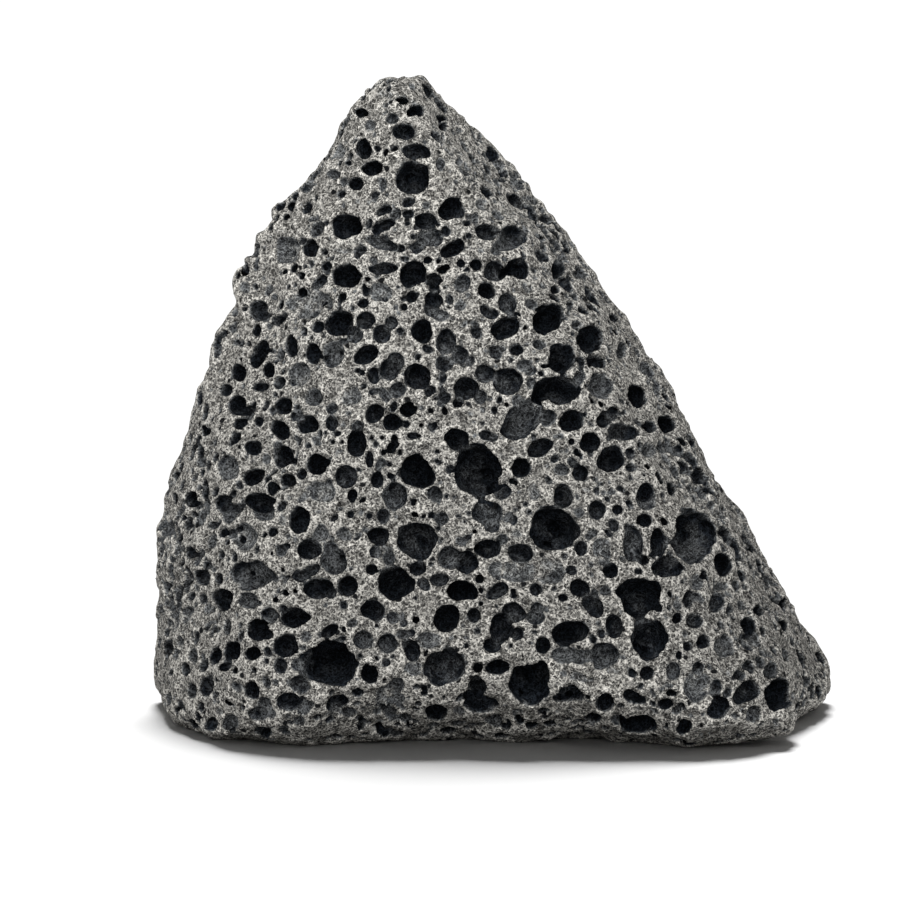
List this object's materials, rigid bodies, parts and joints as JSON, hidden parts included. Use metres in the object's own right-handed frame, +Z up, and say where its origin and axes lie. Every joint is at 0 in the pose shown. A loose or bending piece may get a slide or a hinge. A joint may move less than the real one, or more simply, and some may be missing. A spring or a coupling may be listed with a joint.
{
  "type": "lava rock",
  "caption": "Piece of vesicular basalt lava rock, a rough rounded three-sided pyramid full of gas-bubble pits, standing on a flat foot as a decorative or aquarium stone",
  "frame": {"origin": "middle of the footprint of the bounding box, on the plane the stone rests on", "axes": "+X to the right along the broad front face, +Y from the front face towards the back, +Z up"},
  "size_m": [0.1224, 0.0812, 0.113],
  "materials": {
    "vesicular_basalt": "rough natural stone, warm mid grey skin with charcoal pits, no gloss"
  },
  "bodies": {
    "root": {"lava_rock": "vesicular_basalt"}
  },
  "joints": []
}
